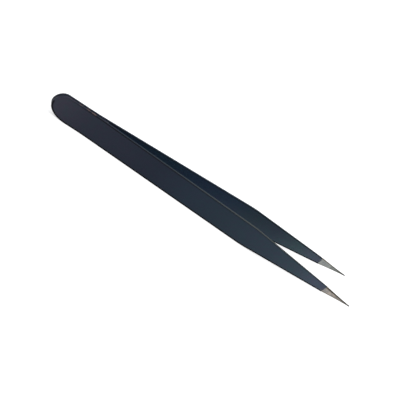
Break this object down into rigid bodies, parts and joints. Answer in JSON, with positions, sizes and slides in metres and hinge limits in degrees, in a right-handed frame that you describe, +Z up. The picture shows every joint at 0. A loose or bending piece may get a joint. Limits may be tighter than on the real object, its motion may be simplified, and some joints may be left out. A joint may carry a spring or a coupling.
{
  "type": "precision tweezers",
  "caption": "Straight fine-point precision tweezers with flat coated spring arms joined at a round heel and bare ground points.",
  "frame": {"origin": "bottom centre of the bounding box, on the plane that the lower edges of both blades stand on, midway between the heel end and the points", "axes": "+X runs from the heel to the points, +Y is the direction the arms open in (far arm at +Y, near arm at -Y), +Z is up across the blades' width"},
  "size_m": [0.14, 0.015, 0.0094],
  "materials": {
    "epoxy_coating": "satin blue-black epoxy coating with rounded edges",
    "ground_steel": "bare stainless steel, finely ground, slightly dull"
  },
  "bodies": {
    "heel": {"heel_spacer": "epoxy_coating", "near_tang": "epoxy_coating", "far_tang": "epoxy_coating", "near_spring": "epoxy_coating", "far_spring": "epoxy_coating"},
    "near_arm": {"near_grip": "epoxy_coating", "near_nose": "epoxy_coating", "near_point": "ground_steel"},
    "far_arm": {"far_grip": "epoxy_coating", "far_nose": "epoxy_coating", "far_point": "ground_steel"}
  },
  "joints": [
    {"name": "near_arm_flex", "type": "hinge", "parent": "heel", "child": "near_arm", "pos_m": [-0.02876, -0.00199, 0.00472], "axis": [0, 0, 1], "range_deg": [0, 4.19], "stiffness_Nm_per_rad": 1.6},
    {"name": "far_arm_flex", "type": "hinge", "parent": "heel", "child": "far_arm", "pos_m": [-0.02876, 0.00199, 0.00472], "axis": [0, 0, -1], "range_deg": [0, 4.19], "stiffness_Nm_per_rad": 1.6}
  ]
}
